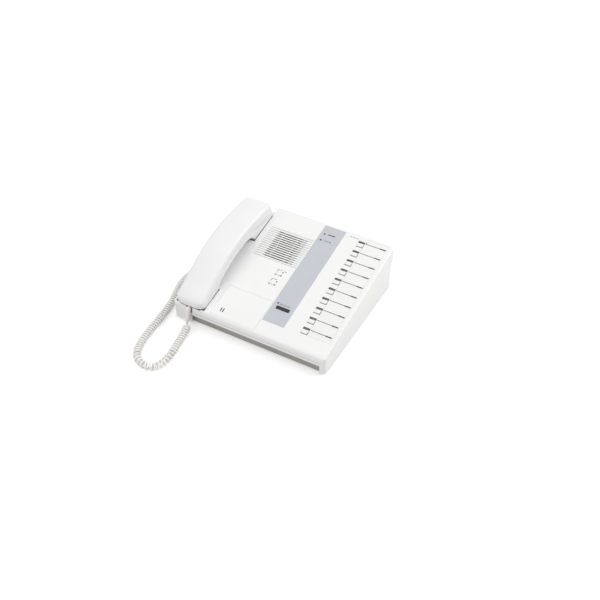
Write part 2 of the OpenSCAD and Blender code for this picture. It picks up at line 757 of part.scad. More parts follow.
module terminal_block() color([0.15, 0.35, 0.25]) {
    translate([main_x1 - 82, main_y0 + main_d - 20 - half_d, main_z + main_t]) difference() {
        cube([60, 14, 11]);
        for (i = [0 : 9]) {
            translate([1 + i * 6, 8, 4]) cube([4, 4, 20]);
            translate([1.5 + i * 6, -1, 1.5]) cube([3, 6, 4.5]);
        }
    }
}

module ribbon_cable() color([0.6, 0.62, 0.66]) {
    difference() {
        union() {
            translate([main_x1 - 42, main_y0 + 36 - half_d, main_z + main_t]) cube([26, 6, 5]);
            translate([main_x1 - 41, main_y0 + 38.4 - half_d, main_z + main_t]) cube([24, 1.2, 60]);
        }
        on_slope() block(key_x - 36, key_x + 45, main_y0 - 10, main_y0 + 90, board_top - board_t, 60);
    }
}

module hook_plunger() color(black) {
    on_slope() {
        rod(grip_x, hook_v, ear_floor - 13, ear_floor, hook_d);
        rod(grip_x, hook_v, ear_floor - wall - hook_travel - 1.8, ear_floor - wall - hook_travel - 0.3, 9);
    }
}

module hook_switch() color(black) {
    on_slope() {
        block(grip_x - 9, grip_x + 9, hook_v - 5, hook_v + 5, ear_floor - 27, ear_floor - 13.3);
    }
    difference() {
        translate([grip_x - 7, hook_v - half_d - 3, pan_z + pan_floor]) cube([14, 6, 40]);
        on_slope() block(grip_x - 30, grip_x + 30, hook_v - 60, hook_v + 60, ear_floor - 27, 60);
    }
}

// ---- handset ----

module grip_prism(t) {
    intersection() {
        translate([grip_x0 + t, grip_v0, 0]) rotate([90, 0, 90]) linear_extrude(grip_w - 2 * t)
            polygon(inset(grip_side, t));
        translate([0, 0, -40]) linear_extrude(100) {
            w = grip_w - 2 * t;
            l = grip_len + grip_over - 2 * t;
            r = grip_r - t;
            translate([grip_x, grip_v0 + (grip_len - grip_over) / 2]) {
                square([w, l - 2 * r], center = true);
                square([w - 2 * r, l], center = true);
                for (x = [-1, 1], y = [-1, 1]) translate([x * (w / 2 - r), y * (l / 2 - r)])
                    circle(r = r, $fn = 48);
            }
        }
    }
}

module over_parting() {
    translate([grip_x0 - 5, grip_v0, 0]) rotate([90, 0, 90]) linear_extrude(grip_w + 10)
        polygon(concat(grip_part, [[grip_len + 9, 80], [-9, 80]]));
}

// Handset screws: place up the slope, outer face of the lower shell there, height of the parting.
grip_screw_at = [
    [ear_v + 24, -ear_drop, 7], [ear_v0 - 36, grip_gap, part_top], [mouth_v + 15.5, -mouth_drop, 8.2]
];
grip_screw_d = 2.4;

module grip_bosses() {
    for (p = grip_screw_at) rod(grip_x, p[0], p[1] - 1, 60, 6);
}

module handset_upper() color(white) {
    on_slope() difference() {
        intersection() {
            grip_prism(0);
            over_parting();
        }
        difference() {
            grip_prism(shell_wall);
            grip_bosses();
        }
        for (p = grip_screw_at) rod(grip_x, p[0], p[1], p[2] + 6, grip_screw_d);
    }
}

module handset_lower() color(white) {
    difference() {
        on_slope() difference() {
            grip_prism(0);
            difference() {
                grip_prism(shell_wall);
                grip_bosses();
            }
            over_parting();
            for (a = [0 : 60 : 300]) translate([grip_x, ear_v, 0]) rotate([0, 0, a])
                rod(6, 0, -16, -10, 2.4);
            rod(grip_x, ear_v, -16, -10, 2.4);
            for (x = [-6, 0, 6]) block(grip_x + x - 1, grip_x + x + 1, mouth_v - 4, mouth_v + 4, -16, -5);
            for (p = grip_screw_at) {
                rod(grip_x, p[0], p[1] - 5, p[2] + 9, grip_screw_d + 0.5);
                rod(grip_x, p[0], p[1] - 5, p[1] + 1.6, grip_screw_d + 2.4);
            }
        }
        translate([grip_x, 14 - half_d, relief_z]) rotate([90, 0, 0]) cylinder(d = relief_d, h = 20, $fn = 32);
    }
}

module receiver_capsule() color(steel) {
    on_slope() rod(grip_x, ear_v, -ear_drop + shell_wall, -ear_drop + shell_wall + 10, 32);
}

module transmitter_capsule() color(steel) {
    on_slope() rod(grip_x, mouth_v, -mouth_drop + shell_wall, -mouth_drop + shell_wall + 6, 24);
}

module handset_weight() color(steel) {
    on_slope() block(grip_x - 12, grip_x + 12, mouth_v1 + 33, mouth_v1 + 55, grip_gap + shell_wall,
        grip_gap + shell_wall + 6);
}

module handset_screws() color(steel) {
    on_slope() for (p = grip_screw_at) {
        rod(grip_x, p[0], p[1] + 0.4, p[1] + 1.6, grip_screw_d + 2);
        rod(grip_x, p[0], p[1] + 1.5, p[2] + 5.6, grip_screw_d);
    }
}

module strain_relief() color(cream) {
    translate([grip_x, relief_y0 - half_d, relief_z]) rotate([90, 0, 0])
        cylinder(d = relief_d, h = relief_y0 - relief_y1, $fn = 32);
    translate(relief_bend) sphere(d = relief_d + 0.4, $fn = 32);
    translate(relief_bend) rotate([180 - (90 - relief_drop), 0, 0]) difference() {
        cylinder(d = relief_d, h = relief_len, $fn = 32);
        for (z = [6, 9.5, 13]) translate([0, 0, z]) difference() {
            cylinder(d = relief_d + 1, h = 1, $fn = 32);
            translate([0, 0, -1]) cylinder(d = relief_d - 1.6, h = 3, $fn = 32);
        }
    }
}

module cord_gland() color(black) {
    translate([-half_w - outlet_out, outlet_y - half_d, outlet_z]) rotate([0, 90, 0]) {
        cylinder(d = outlet_d, h = outlet_out, $fn = 32);
        cylinder(d = outlet_d - 2, h = outlet_out + wall + 1, $fn = 32);
        translate([0, 0, outlet_out + wall]) cylinder(d = outlet_d, h = 2, $fn = 32);
    }
}

module curly_cord() color(cream) {
    n = tube_sides;
    polyhedron(points = rings, convexity = 12, faces = concat(
        [[for (k = [0 : n - 1]) n - 1 - k]],
        [for (i = [0 : last - 1], k = [0 : n - 1])
            [i * n + k, i * n + (k + 1) % n, (i + 1) * n + (k + 1) % n, (i + 1) * n + k]],
        [[for (k = [0 : n - 1]) last * n + k]]
    ));
}

top_cover();
base_pan();
rubber_feet();
base_screws();
front_panel();
fascia_strip();
status_lamps();
talk_lamp();
talk_key();
function_key(0);  // function_key_a
function_key(1);  // function_key_b
station_key(0);  // station_key_01
station_key(1);  // station_key_02
station_key(2);  // station_key_03
station_key(3);  // station_key_04
station_key(4);  // station_key_05
station_key(5);  // station_key_06
station_key(6);  // station_key_07
station_key(7);  // station_key_08
station_key(8);  // station_key_09
station_key(9);  // station_key_10
lamp_windows();
name_card();
name_rules();
speaker_frame();
speaker_cone();
speaker_magnet();
speaker_clamps();
main_board();
main_board_screws();
key_board();
key_board_screws();
key_switches();
fascia_board();
fascia_switches();
desk_microphone();
line_transformer();
terminal_block();
ribbon_cable();
hook_plunger();
hook_switch();
handset_upper();
handset_lower();
receiver_capsule();
transmitter_capsule();
handset_weight();
handset_screws();
strain_relief();
cord_gland();
curly_cord();
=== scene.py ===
"""Dresses the desk intercom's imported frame: finishes, softened mouldings, handset, curly cord and studio."""

import logging
import math
from collections.abc import Sequence
from dataclasses import dataclass, field
from enum import Enum

import bpy
import numpy as np
from mathutils import Matrix, Vector


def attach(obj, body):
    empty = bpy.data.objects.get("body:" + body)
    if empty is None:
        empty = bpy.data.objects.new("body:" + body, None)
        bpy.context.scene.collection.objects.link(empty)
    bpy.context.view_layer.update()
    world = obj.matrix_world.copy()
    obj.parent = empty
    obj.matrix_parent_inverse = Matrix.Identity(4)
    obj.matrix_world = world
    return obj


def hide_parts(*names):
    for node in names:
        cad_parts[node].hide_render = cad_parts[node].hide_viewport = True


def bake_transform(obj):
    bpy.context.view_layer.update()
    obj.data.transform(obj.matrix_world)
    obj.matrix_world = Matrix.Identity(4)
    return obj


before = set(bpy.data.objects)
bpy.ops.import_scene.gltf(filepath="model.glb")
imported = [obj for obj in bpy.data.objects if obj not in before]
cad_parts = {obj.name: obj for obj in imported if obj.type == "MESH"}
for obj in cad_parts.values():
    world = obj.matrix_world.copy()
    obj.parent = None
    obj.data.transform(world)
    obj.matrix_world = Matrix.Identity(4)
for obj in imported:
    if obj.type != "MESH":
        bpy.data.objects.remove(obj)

LOG = logging.getLogger("desk_intercom")
MM = 0.001
Colour = tuple[float, float, float]
Point = tuple[float, float, float]

SLOPE_DEGREES = 11.0
CASE_DEPTH = 217.0
FRONT_HEIGHT = 30.0
ON_SLOPE = (
    Matrix.Translation((0, -CASE_DEPTH / 2 * MM, FRONT_HEIGHT * MM))
    @ Matrix.Rotation(math.radians(SLOPE_DEGREES), 4, "X")
    @ Matrix.Scale(MM, 4)
)
FLAT = Matrix.Scale(MM, 4)
TOP_RUN = CASE_DEPTH / math.cos(math.radians(SLOPE_DEGREES))


class Body(str, Enum):
    """The bodies of the frame that new pieces ride on."""

    BASE = "base"
    HANDSET = "handset"


class Texture(Enum):
    """How a surface is patterned at close range."""

    MOULDED = "spark-eroded grain of moulded plastic"
    SATIN = "printed film with a fine tooth"
    GLOSSY = "polished plastic"
    RUBBER = "matt rubber"
    PAPER = "card with fibres"
    BRUSHED = "drawn or rolled metal"
    BOARD = "circuit board with tracks"
    WOUND = "taped winding"


# ---- finishes ----

TRACK_PITCH = 6.0
TRACK_GAIN = 1.9
TURN_PITCH = 9.0
FIBRE_SIZE = 1.6
BLOTCH_SIZE = 28.0
WEAR_SIZE = 17.0


@dataclass(frozen=True)
class Finish:
    """One procedural surface, read in Object coordinates."""

    name: str
    colour: Colour
    texture: Texture = Texture.MOULDED
    roughness: float = 0.42
    grain: float = 0.45
    depth: float = 0.012
    mottle: float = 0.02
    metallic: float = 0.0
    coat: float = 0.0
    specular: float = 0.5
    edge: float = 0.35

    def material(self) -> bpy.types.Material:
        """Returns the finish as a Blender material, made once.

        Returns:
            The node material with this finish's name.
        """
        known = bpy.data.materials.get(self.name)
        if known is not None:
            return known
        made = bpy.data.materials.new(self.name)
        made.use_nodes = True
        tree = made.node_tree
        shader = tree.nodes["Principled BSDF"]
        shader.inputs["Metallic"].default_value = self.metallic
        shader.inputs["Coat Weight"].default_value = self.coat
        shader.inputs["Coat Roughness"].default_value = 0.12
        shader.inputs["Specular IOR Level"].default_value = self.specular
        place = tree.nodes.new("ShaderNodeTexCoord")
        mapping = tree.nodes.new("ShaderNodeMapping")
        mapping.inputs["Scale"].default_value = self._stretch()
        tree.links.new(place.outputs["Object"], mapping.inputs["Vector"])
        self._colour_nodes(tree, mapping, shader)
        self._roughness_nodes(tree, mapping, shader)
        self._bump_nodes(tree, mapping, shader)
        return made

    def _stretch(self) -> Point:
        """The pattern's scale along each axis."""
        return (0.05, 1.0, 1.0) if self.texture is Texture.BRUSHED else (1.0, 1.0, 1.0)

    def _noise(
        self, tree: bpy.types.NodeTree, vector: bpy.types.Node, size_mm: float, detail: float
    ) -> bpy.types.Node:
        """Adds a noise texture.

        Args:
            tree: The material's nodes.
            vector: The mapping node that gives its place.
            size_mm: The size of one blotch in millimetres.
            detail: How many finer octaves it has.

        Returns:
            The noise node.
        """
        noise = tree.nodes.new("ShaderNodeTexNoise")
        noise.inputs["Scale"].default_value = 1 / (size_mm * MM)
        noise.inputs["Detail"].default_value = detail
        tree.links.new(vector.outputs["Vector"], noise.inputs["Vector"])
        return noise

    def _colour_nodes(
        self, tree: bpy.types.NodeTree, mapping: bpy.types.Node, shader: bpy.types.Node
    ) -> None:
        """Lets the colour wander a little, with tracks on a board and fibres on card.

        Args:
            tree: The material's nodes.
            mapping: The mapping node that gives the place.
            shader: The node whose base colour is fed.
        """
        ramp = tree.nodes.new("ShaderNodeValToRGB")
        low, high = ramp.color_ramp.elements
        low.color = (*(c * (1 - self.mottle) for c in self.colour), 1)
        high.color = (*(min(1.0, c * (1 + self.mottle)) for c in self.colour), 1)
        low.position, high.position = 0.3, 0.7
        if self.texture is Texture.BOARD:
            source = tree.nodes.new("ShaderNodeTexBrick")
            source.inputs["Scale"].default_value = 1 / (TRACK_PITCH * MM)
            source.inputs["Mortar Size"].default_value = 0.06
            tree.links.new(mapping.outputs["Vector"], source.inputs["Vector"])
            low.color = (*self.colour, 1)
            high.color = (*(c * TRACK_GAIN for c in self.colour), 1)
            tree.links.new(source.outputs["Fac"], ramp.inputs["Fac"])
        elif self.texture is Texture.WOUND:
            source = tree.nodes.new("ShaderNodeTexWave")
            source.inputs["Scale"].default_value = 1 / (TURN_PITCH * MM)
            source.inputs["Distortion"].default_value = 0.6
            tree.links.new(mapping.outputs["Vector"], source.inputs["Vector"])
            tree.links.new(source.outputs["Fac"], ramp.inputs["Fac"])
        else:
            size = FIBRE_SIZE if self.texture is Texture.PAPER else BLOTCH_SIZE
            source = self._noise(tree, mapping, size, 3.0)
            tree.links.new(source.outputs["Fac"], ramp.inputs["Fac"])
        tree.links.new(ramp.outputs["Color"], shader.inputs["Base Color"])

    def _roughness_nodes(
        self, tree: bpy.types.NodeTree, mapping: bpy.types.Node, shader: bpy.types.Node
    ) -> None:
        """Makes random patches a shade glossier than the rest.

        Args:
            tree: The material's nodes.
            mapping: The mapping node that gives the place.
            shader: The node whose roughness is fed.
        """
        noise = self._noise(tree, mapping, WEAR_SIZE, 2.0)
        spread = tree.nodes.new("ShaderNodeMapRange")
        spread.inputs["From Min"].default_value = 0.3
        spread.inputs["From Max"].default_value = 0.7
        spread.inputs["To Min"].default_value = self.roughness * 0.9
        spread.inputs["To Max"].default_value = min(1.0, self.roughness * 1.12)
        tree.links.new(noise.outputs["Fac"], spread.inputs["Value"])
        tree.links.new(spread.outputs["Result"], shader.inputs["Roughness"])

    def _bump_nodes(
        self, tree: bpy.types.NodeTree, mapping: bpy.types.Node, shader: bpy.types.Node
    ) -> None:
        """Raises the fine grain of the surface and breaks its sharp edges.

        Args:
            tree: The material's nodes.
            mapping: The mapping node that gives the place.
            shader: The node whose normal is fed.
        """
        soft = tree.nodes.new("ShaderNodeBevel")
        soft.samples = 6
        soft.inputs["Radius"].default_value = self.edge * MM
        if self.depth <= 0:
            tree.links.new(soft.outputs["Normal"], shader.inputs["Normal"])
            return
        noise = self._noise(tree, mapping, self.grain, 2.0)
        bump = tree.nodes.new("ShaderNodeBump")
        bump.inputs["Strength"].default_value = 0.35
        bump.inputs["Distance"].default_value = self.depth * MM
        tree.links.new(soft.outputs["Normal"], bump.inputs["Normal"])
        tree.links.new(noise.outputs["Fac"], bump.inputs["Height"])
        tree.links.new(bump.outputs["Normal"], shader.inputs["Normal"])

    def dress(self, piece: bpy.types.Object) -> None:
        """Gives a piece this finish all over.

        Args:
            piece: The mesh object to dress.
        """
        made = self.material()
        slots = piece.material_slots
        if not slots:
            piece.data.materials.append(made)
            return
        for slot in slots:
            slot.link = "OBJECT"
            slot.material = made


WHITE_SHELL = Finish("white_shell", (0.86, 0.86, 0.855), roughness=0.4, mottle=0.008)
WHITE_GRIP = Finish("white_grip", (0.85, 0.85, 0.86), roughness=0.34, grain=0.6, mottle=0.008)
WHITE_KEYS = Finish("white_keys", (0.86, 0.86, 0.85), roughness=0.32, depth=0.006, mottle=0.01)
WARM_BASE = Finish("warm_grey_base", (0.37, 0.35, 0.325), roughness=0.5, grain=0.7, depth=0.02)
STRIP_FILM = Finish("blue_grey_strip", (0.535, 0.55, 0.60), Texture.SATIN, 0.45, 0.25, 0.006)
BLACK_KEY = Finish("black_key", (0.006, 0.006, 0.007), Texture.SATIN, 0.55, depth=0.004)
SMOKED = Finish(
    "smoked_window", (0.075, 0.068, 0.068), Texture.GLOSSY, 0.2, depth=0.002, mottle=0.3, coat=0.5
)
RED_LENS = Finish("red_lens", (0.10, 0.04, 0.04), Texture.GLOSSY, 0.18, depth=0.0, coat=0.6)
GREEN_LENS = Finish("green_lens", (0.03, 0.09, 0.045), Texture.GLOSSY, 0.18, depth=0.0, coat=0.6)
NAME_PAPER = Finish("name_paper", (0.85, 0.85, 0.84), Texture.PAPER, 0.75, 0.8, 0.006, 0.02)
# black ink, also used for the painted shade brackets round the function keys
INK_AND_PAINTED_SHADE = Finish("printed_ink_and_painted_shade", (0.03, 0.03, 0.033), Texture.SATIN, 0.6, depth=0.002)
# grey ink, also used for the painted shade lines under the station keys
GREY_INK_AND_PAINTED_SHADE = Finish("grey_ink_and_painted_shade", (0.22, 0.22, 0.23), Texture.SATIN, 0.6, depth=0.002)
PALE_INK = Finish("pale_ink", (0.42, 0.42, 0.43), Texture.SATIN, 0.6, depth=0.002)
CLOTH = Finish("speaker_cloth", (0.03, 0.026, 0.025), Texture.PAPER, 0.9, 0.5, 0.05, 0.2)
# black felt, also used as painted shade in the handset cradle gaps and under the mouth end
FELT_AND_PAINTED_SHADE = Finish("black_felt_and_painted_shade", (0.012, 0.012, 0.012), Texture.PAPER, 0.95, 0.6, 0.05, 0.2)
CREAM_CORD = Finish("cream_cord", (0.87, 0.855, 0.83), Texture.GLOSSY, 0.3, 0.5, 0.006, 0.03)
RUBBER = Finish("black_rubber", (0.02, 0.02, 0.021), Texture.RUBBER, 0.8, 0.9, 0.03)
STEEL = Finish("zinc_steel", (0.56, 0.56, 0.55), Texture.BRUSHED, 0.34, 0.5, 0.008, 0.06, 1.0)
BOARD = Finish("circuit_board", (0.03, 0.13, 0.055), Texture.BOARD, 0.38, 0.5, 0.006)
BLACK_PART = Finish("black_part", (0.022, 0.022, 0.024), roughness=0.5, depth=0.01)
CONE_PAPER = Finish("cone_paper", (0.035, 0.034, 0.033), Texture.PAPER, 0.85, 0.7, 0.03, 0.15)
WINDING = Finish("taped_winding", (0.42, 0.30, 0.10), Texture.WOUND, 0.5, 0.6, 0.01, 0.25)
RIBBON = Finish("ribbon_cable", (0.44, 0.45, 0.48), Texture.WOUND, 0.5, 0.5, 0.01, 0.1)
GREEN_BLOCK = Finish("terminal_green", (0.03, 0.16, 0.08), roughness=0.45)

NODE_FINISHES: dict[str, Finish] = {
    "top_cover": WHITE_SHELL,
    "base_pan": WARM_BASE,
    "front_panel": WHITE_SHELL,
    "fascia_strip": STRIP_FILM,
    "name_card": NAME_PAPER,
    "rubber_feet": RUBBER,
    "base_screws": STEEL,
    "status_lamps": RED_LENS,
    "talk_lamp": GREEN_LENS,
    "name_rules": INK_AND_PAINTED_SHADE,
    "speaker_frame": STEEL,
    "speaker_cone": CONE_PAPER,
    "speaker_magnet": STEEL,
    "speaker_clamps": STEEL,
    "main_board": BOARD,
    "main_board_screws": STEEL,
    "key_board": BOARD,
    "key_board_screws": STEEL,
    "key_switches": BLACK_PART,
    "fascia_board": BOARD,
    "fascia_switches": BLACK_PART,
    "desk_microphone": BLACK_PART,
    "line_transformer": WINDING,
    "terminal_block": GREEN_BLOCK,
    "ribbon_cable": RIBBON,
    "hook_plunger": BLACK_PART,
    "hook_switch": BLACK_PART,
    "receiver_capsule": STEEL,
    "transmitter_capsule": STEEL,
    "handset_weight": STEEL,
    "handset_screws": STEEL,
}


# ---- the modelling bench ----


def pick(*pieces: bpy.types.Object) -> None:
    """Selects only these objects and makes the first one active.

    Args:
        pieces: The objects to select.
    """
    if bpy.context.object is not None and bpy.context.object.mode != "OBJECT":
        bpy.ops.object.mode_set(mode="OBJECT")
    bpy.ops.object.select_all(action="DESELECT")
    for piece in pieces:
        piece.select_set(True)
    bpy.context.view_layer.objects.active = pieces[0]


def apply_modifier(piece: bpy.types.Object, kind: str, **settings: object) -> None:
    """Adds a modifier, sets it and applies it.

    Args:
        piece: The object to change.
        kind: Blender's name of the modifier type.
        settings: The modifier's properties and their values.
    """
    pick(piece)
    modifier = piece.modifiers.new(kind.lower(), kind)
    for key, value in settings.items():
        setattr(modifier, key, value)
    bpy.ops.object.modifier_apply(modifier=modifier.name)


def settle(piece: bpy.types.Object, place: Matrix) -> None:
    """Puts a piece that was drawn in millimetres into the frame, with its object at the origin.

    Args:
        piece: The object to place.
        place: The matrix from its drawing to the frame.
    """
    pick(piece)
    piece.matrix_world = place @ piece.matrix_world
    bpy.context.view_layer.update()
    bpy.ops.object.transform_apply(location=True, rotation=True, scale=True)


def block(name: str, low: Point, high: Point) -> bpy.types.Object:
    """Adds a cube primitive shaped to a box.

    Args:
        name: The object's name.
        low: The lowest corner.
        high: The highest corner.

    Returns:
        The new object, with its place in its mesh.
    """
    centre = [(a + b) / 2 for a, b in zip(low, high)]
    bpy.ops.object.select_all(action="DESELECT")
    bpy.ops.mesh.primitive_cube_add(size=1, location=centre)
    made = bpy.context.object
    made.name = made.data.name = name
    made.scale = [b - a for a, b in zip(low, high)]
    bpy.ops.object.transform_apply(location=True, rotation=True, scale=True)
    return made


def rod(name: str, x: float, y: float, z0: float, z1: float, radius: float) -> bpy.types.Object:
    """Adds an upright cylinder primitive.

    Args:
        name: The object's name.
        x: Its middle across.
        y: Its middle along.
        z0: Its lower end.
        z1: Its upper end.
        radius: Its radius.

    Returns:
        The new object, with its place in its mesh.
    """
    bpy.ops.object.select_all(action="DESELECT")
    bpy.ops.mesh.primitive_cylinder_add(
        vertices=32, radius=radius, depth=z1 - z0, location=(x, y, (z0 + z1) / 2)
    )
    made = bpy.context.object
    made.name = made.data.name = name
    bpy.ops.object.transform_apply(location=True, rotation=True, scale=True)
    return made


def joined(pieces: list[bpy.types.Object], name: str) -> bpy.types.Object:
    """Joins pieces into one object.

    Args:
        pieces: The objects to join.
        name: The new object's name.

    Returns:
        The joined object.
    """
    pick(*pieces)
    if len(pieces) > 1:
        bpy.ops.object.join()
    made = bpy.context.object
    made.name = made.data.name = name
    return made


def closed(
    name: str, vertices: Sequence[Sequence[float]], faces: Sequence[tuple[int, ...]]
) -> bpy.types.Object:
    """Makes a closed mesh from its points and faces, with its faces turned outwards.

    Args:
        name: The object's name.
        vertices: The points.
        faces: The faces, as places in the list of points.

    Returns:
        The new object.
    """
    mesh = bpy.data.meshes.new(name)
    mesh.from_pydata(vertices, [], faces)
    made = bpy.data.objects.new(name, mesh)
    bpy.context.scene.collection.objects.link(made)
    pick(made)
    bpy.ops.object.mode_set(mode="EDIT")
    bpy.ops.mesh.select_all(action="SELECT")
    bpy.ops.mesh.normals_make_consistent(inside=False)
    bpy.ops.object.mode_set(mode="OBJECT")
    return made


def cut(piece: bpy.types.Object, cutter: bpy.types.Object, operation: str = "DIFFERENCE") -> None:
    """Cuts a piece with another one, which is then deleted.

    Args:
        piece: The object to cut.
        cutter: The closed object that cuts it.
        operation: Blender's name of the boolean operation.
    """
    apply_modifier(piece, "BOOLEAN", object=cutter, operation=operation, solver="EXACT")
    bpy.data.objects.remove(cutter, do_unlink=True)


def smooth(piece: bpy.types.Object, degrees: float = 30.0) -> None:
    """Shades a piece smooth apart from its sharp edges.

    Args:
        piece: The object to shade.
        degrees: The angle from which an edge is sharp.
    """
    pick(piece)
    bpy.ops.object.shade_smooth_by_angle(angle=math.radians(degrees))


def softened(
    node: str, name: str, width: float, segments: int = 2, dissolve: float = 0.4
) -> bpy.types.Object:
    """Copies a moulding of the frame and rounds its edges as the tool left them.

    Args:
        node: The CAD node to copy.
        name: The new piece's name.
        width: The width of the rounding in millimetres.
        segments: How many faces each rounding has.
        dissolve: Angle in degrees below which faces are merged into one.

    Returns:
        The softened copy, which replaces the node.
    """
    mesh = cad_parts[node].data.copy()
    mesh.materials.clear()
    made = bpy.data.objects.new(name, mesh)
    bpy.context.scene.collection.objects.link(made)
    mesh.name = name
    pick(made)
    bpy.ops.object.mode_set(mode="EDIT")
    bpy.ops.mesh.select_all(action="SELECT")
    bpy.ops.mesh.customdata_custom_splitnormals_clear()
    bpy.ops.mesh.remove_doubles(threshold=5e-6)
    bpy.ops.mesh.dissolve_limited(angle_limit=math.radians(dissolve))
    bpy.ops.object.mode_set(mode="OBJECT")
    apply_modifier(
        made,
        "BEVEL",
        width=width * MM,
        segments=segments,
        limit_method="ANGLE",
        angle_limit=math.radians(35),
        use_clamp_overlap=False,
    )
    smooth(made, 40)
    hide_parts(node)
    return made


def spline_point(a: np.ndarray, b: np.ndarray, c: np.ndarray, d: np.ndarray, t: float) -> np.ndarray:
    """Finds a point between b and c on the smooth line through a, b, c and d.

    Args:
        a: The point before b.
        b: Where the stretch begins.
        c: Where the stretch ends.
        d: The point after c.
        t: How far along the stretch, from 0 to 1.

    Returns:
        The point on the line.
    """
    return 0.5 * (
        2 * b
        + (c - a) * t
        + (2 * a - 5 * b + 4 * c - d) * t * t
        + (3 * b - a - 3 * c + d) * t**3
    )


# ---- camera, floor and light ----


@dataclass
class Studio:
    """The camera at the photograph's place, a plain floor and soft light."""

    target: Point = (45.3, -1.0, 20.0)
    distance: float = 1346.4
    azimuth: float = 28.783
    elevation: float = 43.037
    lens: float = 55.85
    shift: tuple[float, float] = (-0.0206, -0.0007)
    floor_size: float = 6.0
    world_strength: float = 0.52
    back_strength: float = 0.42
    top_strength: float = 0.27
    front_strength: float = 0.17
    floor_glow: float = 0.38

    def camera(self) -> None:
        """Sets the camera at the photograph's viewing angle."""
        bpy.ops.object.select_all(action="DESELECT")
        bpy.ops.object.camera_add()
        made = bpy.context.object
        made.name = "photo_camera"
        a, e = math.radians(self.azimuth), math.radians(self.elevation)
        back = Vector((math.sin(a) * math.cos(e), -math.cos(a) * math.cos(e), math.sin(e)))
        made.location = Vector(self.target) * MM + back * self.distance * MM
        made.rotation_mode = "QUATERNION"
        made.rotation_quaternion = (-back).to_track_quat("-Z", "Y")
        made.data.sensor_width = 36.0
        made.data.lens = self.lens
        made.data.shift_x, made.data.shift_y = self.shift
        made.data.clip_end = 50
        bpy.context.scene.camera = made

    def floor(self) -> None:
        """Lays the pale floor, which shows white and keeps the object's shadow."""
        bpy.ops.object.select_all(action="DESELECT")
        bpy.ops.mesh.primitive_plane_add(size=self.floor_size, location=(0, 0, -0.0002))
        floor = bpy.context.object
        floor.name = "floor"
        bpy.ops.object.transform_apply(location=True, rotation=True, scale=True)
        made = bpy.data.materials.new("pale_floor")
        made.use_nodes = True
        tree = made.node_tree
        shader = tree.nodes["Principled BSDF"]
        shader.inputs["Base Color"].default_value = (0.8, 0.8, 0.8, 1)
        shader.inputs["Roughness"].default_value = 0.9
        shader.inputs["Specular IOR Level"].default_value = 0.1
        glow = tree.nodes.new("ShaderNodeEmission")
        glow.inputs["Strength"].default_value = self.floor_glow
        both = tree.nodes.new("ShaderNodeAddShader")
        choice = tree.nodes.new("ShaderNodeMixShader")
        tree.links.new(shader.outputs["BSDF"], both.inputs[0])
        tree.links.new(glow.outputs["Emission"], both.inputs[1])
        tree.links.new(self._seen(tree).outputs["Value"], choice.inputs["Fac"])
        tree.links.new(shader.outputs["BSDF"], choice.inputs[1])
        tree.links.new(both.outputs["Shader"], choice.inputs[2])
        tree.links.new(choice.outputs["Shader"], tree.nodes["Material Output"].inputs["Surface"])
        floor.data.materials.append(made)

    def _seen(self, tree: bpy.types.NodeTree) -> bpy.types.Node:
        """Adds nodes that tell the rays which show the background.

        Args:
            tree: The nodes of the floor or the world.

        Returns:
            A node whose value is 1 for camera, glossy and transmission rays.
        """
        rays = tree.nodes.new("ShaderNodeLightPath")
        last = None
        for ray in ("Is Glossy Ray", "Is Transmission Ray"):
            either = tree.nodes.new("ShaderNodeMath")
            either.operation = "MAXIMUM"
            source = rays.outputs["Is Camera Ray"] if last is None else last.outputs["Value"]
            tree.links.new(source, either.inputs[0])
            tree.links.new(rays.outputs[ray], either.inputs[1])
            last = either
        return last

    def lights(self) -> None:
        """Hangs a large soft key, a fill and an even white surround."""
        world = bpy.data.worlds.new("studio")
        world.use_nodes = True
        tree = world.node_tree
        shade = tree.nodes["Background"]
        shade.inputs["Color"].default_value = (1, 1, 1, 1)
        shade.inputs["Strength"].default_value = self.world_strength
        white = tree.nodes.new("ShaderNodeBackground")
        white.inputs["Color"].default_value = (1, 1, 1, 1)
        white.inputs["Strength"].default_value = 1.0
        choice = tree.nodes.new("ShaderNodeMixShader")
        tree.links.new(self._seen(tree).outputs["Value"], choice.inputs["Fac"])
        tree.links.new(shade.outputs["Background"], choice.inputs[1])
        tree.links.new(white.outputs["Background"], choice.inputs[2])
        tree.links.new(choice.outputs["Shader"], tree.nodes["World Output"].inputs["Surface"])
        bpy.context.scene.world = world
        self._lamp("back_light", (0.95, 0.8, 1.1), 0.9, self.back_strength)
        self._lamp("top_light", (-0.25, -0.15, 1.7), 1.4, self.top_strength)
        self._lamp("front_light", (-0.7, -1.3, 0.9), 1.2, self.front_strength)

    def _lamp(self, name: str, place: Point, size: float, strength: float) -> None:
        """Adds one square area lamp that aims at the object.

        Args:
            name: The lamp's name.
            place: Where it hangs, in metres.
            size: The side of its square, in metres.
            strength: The share of full daylight that it gives at the object.
        """
        bpy.ops.object.select_all(action="DESELECT")
        bpy.ops.object.light_add(type="AREA", location=place)
        lamp = bpy.context.object
        lamp.name = name
        lamp.data.shape = "SQUARE"
        lamp.data.size = size
        aim = Vector((0, 0, 0.03)) - Vector(place)
        lamp.rotation_mode = "QUATERNION"
        lamp.rotation_quaternion = aim.to_track_quat("-Z", "Y")
        lamp.data.energy = strength * aim.length_squared * math.pi * math.pi


# ---- curly cord ----


